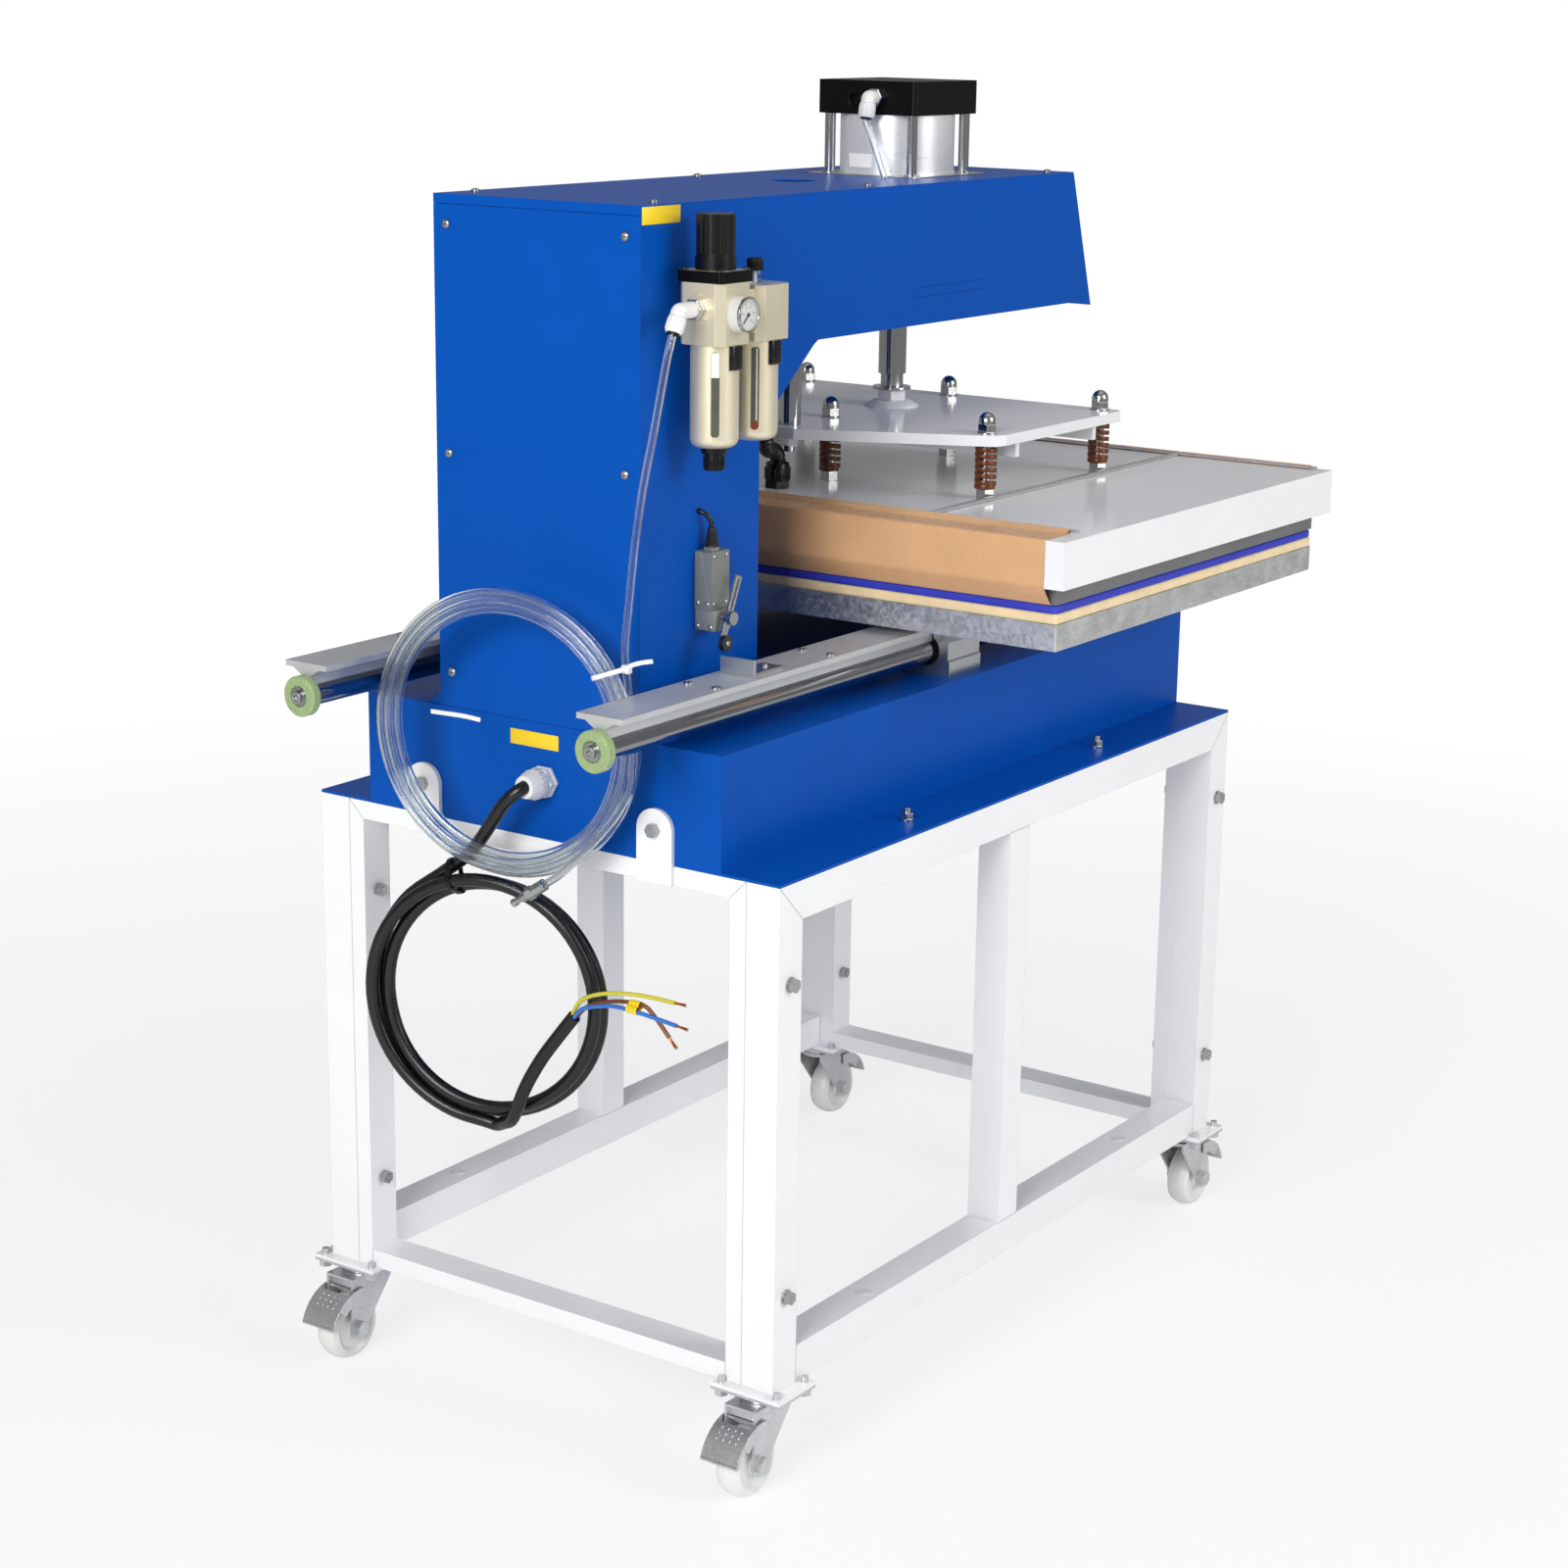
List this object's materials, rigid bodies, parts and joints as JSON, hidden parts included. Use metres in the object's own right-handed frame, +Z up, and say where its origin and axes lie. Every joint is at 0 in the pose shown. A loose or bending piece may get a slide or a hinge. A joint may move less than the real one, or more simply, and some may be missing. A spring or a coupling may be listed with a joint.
{
  "type": "pneumatic heat press",
  "caption": "Large-format pneumatic heat press on a welded stand with casters: a box column and arm carry an air cylinder over a heated platen, with a table that slides out on rails.",
  "frame": {"origin": "on the floor, under the middle of the object from side to side and from rear to front", "axes": "+Z up, +Y to the front where the table slides out, +X to the side with the air unit"},
  "size_m": [0.831, 1.1649, 1.3975],
  "materials": {
    "aluminium": "brushed",
    "black_metal": "gloss",
    "black_plastic": "satin",
    "black_rubber": "matte",
    "blue_paint": "gloss powder coat",
    "bumper_rubber": "translucent gloss",
    "champagne_paint": "satin",
    "clear_hose": "clear gloss",
    "felt": "felted",
    "gray_plastic": "satin",
    "red_plastic": "gloss",
    "release_cloth": "smooth coated",
    "silicone": "matte",
    "spring_steel": "satin",
    "steel_shaft": "ground and polished",
    "white_nylon": "satin",
    "white_paint": "gloss powder coat",
    "zinc_steel": "zinc plated"
  },
  "bodies": {
    "machine": {"side_frames": "white_paint", "cross_frames": "white_paint", "fixings": "zinc_steel", "caster_plates": "zinc_steel", "base_housing": "blue_paint", "column_housing": "blue_paint", "rear_cover": "blue_paint", "lid": "blue_paint", "nylon_fittings": "white_nylon", "control_gear": "gray_plastic", "air_unit_body": "champagne_paint", "air_unit_bowls": "champagne_paint", "limit_switch_body": "gray_plastic", "cylinder_cap": "black_metal", "cylinder_barrel": "aluminium", "cylinder_base": "aluminium", "cylinder_hose": "clear_hose", "bearing_blocks": "aluminium", "power_cable": "black_rubber", "power_cable_coil": "black_rubber", "air_hose": "clear_hose", "air_hose_coil": "clear_hose", "hose_plug": "zinc_steel", "conduit": "black_plastic"},
    "press_head": {"press_rods": "steel_shaft", "pressure_plate": "white_paint", "press_springs": "spring_steel"},
    "heat_platen": {"spring_bolts": "steel_shaft", "platen_cover": "white_paint", "heat_plate": "aluminium", "release_sheet": "release_cloth", "sheet_rods": "steel_shaft", "platen_gland": "black_plastic"},
    "table": {"table_plate": "aluminium", "felt_layer": "felt", "silicone_pad": "silicone", "support_rails": "aluminium", "rail_bumpers": "bumper_rubber", "trip_bracket": "zinc_steel", "table_handle": "black_metal"},
    "power_switch": {"power_switch": "black_plastic"},
    "emergency_stop": {"emergency_stop": "red_plastic"},
    "regulator_knob": {"regulator_knob": "black_plastic"},
    "gauge_needle": {"gauge_needle": "black_metal"},
    "drain_cock": {"drain_cock": "black_plastic"},
    "lubricator_cap": {"lubricator_cap": "black_plastic"},
    "limit_lever": {"limit_lever": "zinc_steel"},
    "limit_roller": {"limit_roller": "black_plastic"},
    "caster_fork_rear_right": {"caster_fork_rear_right": "zinc_steel"},
    "caster_wheel_rear_right": {"caster_wheel_rear_right": "white_nylon"},
    "caster_pedal_rear_right": {"caster_pedal_rear_right": "zinc_steel"},
    "caster_fork_rear_left": {"caster_fork_rear_left": "zinc_steel"},
    "caster_wheel_rear_left": {"caster_wheel_rear_left": "white_nylon"},
    "caster_pedal_rear_left": {"caster_pedal_rear_left": "zinc_steel"},
    "caster_fork_front_right": {"caster_fork_front_right": "zinc_steel"},
    "caster_wheel_front_right": {"caster_wheel_front_right": "white_nylon"},
    "caster_pedal_front_right": {"caster_pedal_front_right": "zinc_steel"},
    "caster_fork_front_left": {"caster_fork_front_left": "zinc_steel"},
    "caster_wheel_front_left": {"caster_wheel_front_left": "white_nylon"},
    "caster_pedal_front_left": {"caster_pedal_front_left": "zinc_steel"}
  },
  "joints": [
    {"name": "lift", "type": "slide", "parent": "machine", "child": "press_head", "axis": [0, 0, 1], "range_m": [0, 0.05], "deforming": ["conduit"]},
    {"name": "cushion", "type": "slide", "parent": "press_head", "child": "heat_platen", "axis": [0, 0, 1], "range_m": [0, 0.006], "stiffness_N_per_m": 60000, "springref_m": -0.004, "deforming": ["press_springs"]},
    {"name": "table_slide", "type": "slide", "parent": "machine", "child": "table", "axis": [0, 1, 0], "range_m": [0, 0.57]},
    {"name": "power_rocker", "type": "hinge", "parent": "machine", "child": "power_switch", "pos_m": [0.098, 0.42996, 1.22866], "axis": [1, 0, 0], "range_deg": [0, 8]},
    {"name": "stop_press", "type": "slide", "parent": "machine", "child": "emergency_stop", "axis": [0, -0.9496, -0.3135], "range_m": [0, 0.004]},
    {"name": "regulator_turn", "type": "hinge", "parent": "machine", "child": "regulator_knob", "pos_m": [0.169, -0.3565, 1.26], "axis": [0, 0, 1], "continuous": true},
    {"name": "gauge_sweep", "type": "hinge", "parent": "machine", "child": "gauge_needle", "pos_m": [0.208, -0.3565, 1.191], "axis": [-1, 0, 0], "range_deg": [0, 270], "stiffness_Nm_per_rad": 0.0002},
    {"name": "drain_turn", "type": "hinge", "parent": "machine", "child": "drain_cock", "pos_m": [0.169, -0.3565, 1.045], "axis": [0, 0, 1], "range_deg": [0, 90]},
    {"name": "oil_cap_turn", "type": "hinge", "parent": "machine", "child": "lubricator_cap", "pos_m": [0.169, -0.2905, 1.23], "axis": [0, 0, 1], "continuous": true},
    {"name": "lever_swing", "type": "hinge", "parent": "machine", "child": "limit_lever", "pos_m": [0.163, -0.3245, 0.884], "axis": [1, 0, 0], "range_deg": [-35, 35], "stiffness_Nm_per_rad": 0.15},
    {"name": "roller_spin", "type": "hinge", "parent": "limit_lever", "child": "limit_roller", "pos_m": [0.169, -0.33508, 0.86025], "axis": [1, 0, 0], "continuous": true},
    {"name": "swivel_rear_right", "type": "hinge", "parent": "machine", "child": "caster_fork_rear_right", "pos_m": [0.275, -0.4035, 0.098], "axis": [0, 0, 1], "continuous": true},
    {"name": "roll_rear_right", "type": "hinge", "parent": "caster_fork_rear_right", "child": "caster_wheel_rear_right", "pos_m": [0.275, -0.4335, 0.0375], "axis": [1, 0, 0], "continuous": true},
    {"name": "brake_rear_right", "type": "hinge", "parent": "caster_fork_rear_right", "child": "caster_pedal_rear_right", "pos_m": [0.275, -0.435, 0.08057], "axis": [1, 0, 0], "range_deg": [0, 8]},
    {"name": "swivel_rear_left", "type": "hinge", "parent": "machine", "child": "caster_fork_rear_left", "pos_m": [-0.275, -0.4035, 0.098], "axis": [0, 0, 1], "continuous": true},
    {"name": "roll_rear_left", "type": "hinge", "parent": "caster_fork_rear_left", "child": "caster_wheel_rear_left", "pos_m": [-0.275, -0.4335, 0.0375], "axis": [1, 0, 0], "continuous": true},
    {"name": "brake_rear_left", "type": "hinge", "parent": "caster_fork_rear_left", "child": "caster_pedal_rear_left", "pos_m": [-0.275, -0.435, 0.08057], "axis": [1, 0, 0], "range_deg": [0, 8]},
    {"name": "swivel_front_right", "type": "hinge", "parent": "machine", "child": "caster_fork_front_right", "pos_m": [0.275, 0.5085, 0.098], "axis": [0, 0, 1], "continuous": true},
    {"name": "roll_front_right", "type": "hinge", "parent": "caster_fork_front_right", "child": "caster_wheel_front_right", "pos_m": [0.275, 0.5385, 0.0375], "axis": [1, 0, 0], "continuous": true},
    {"name": "brake_front_right", "type": "hinge", "parent": "caster_fork_front_right", "child": "caster_pedal_front_right", "pos_m": [0.275, 0.54, 0.08057], "axis": [-1, 0, 0], "range_deg": [0, 8]},
    {"name": "swivel_front_left", "type": "hinge", "parent": "machine", "child": "caster_fork_front_left", "pos_m": [-0.275, 0.5085, 0.098], "axis": [0, 0, 1], "continuous": true},
    {"name": "roll_front_left", "type": "hinge", "parent": "caster_fork_front_left", "child": "caster_wheel_front_left", "pos_m": [-0.275, 0.5385, 0.0375], "axis": [1, 0, 0], "continuous": true},
    {"name": "brake_front_left", "type": "hinge", "parent": "caster_fork_front_left", "child": "caster_pedal_front_left", "pos_m": [-0.275, 0.54, 0.08057], "axis": [-1, 0, 0], "range_deg": [0, 8]}
  ]
}
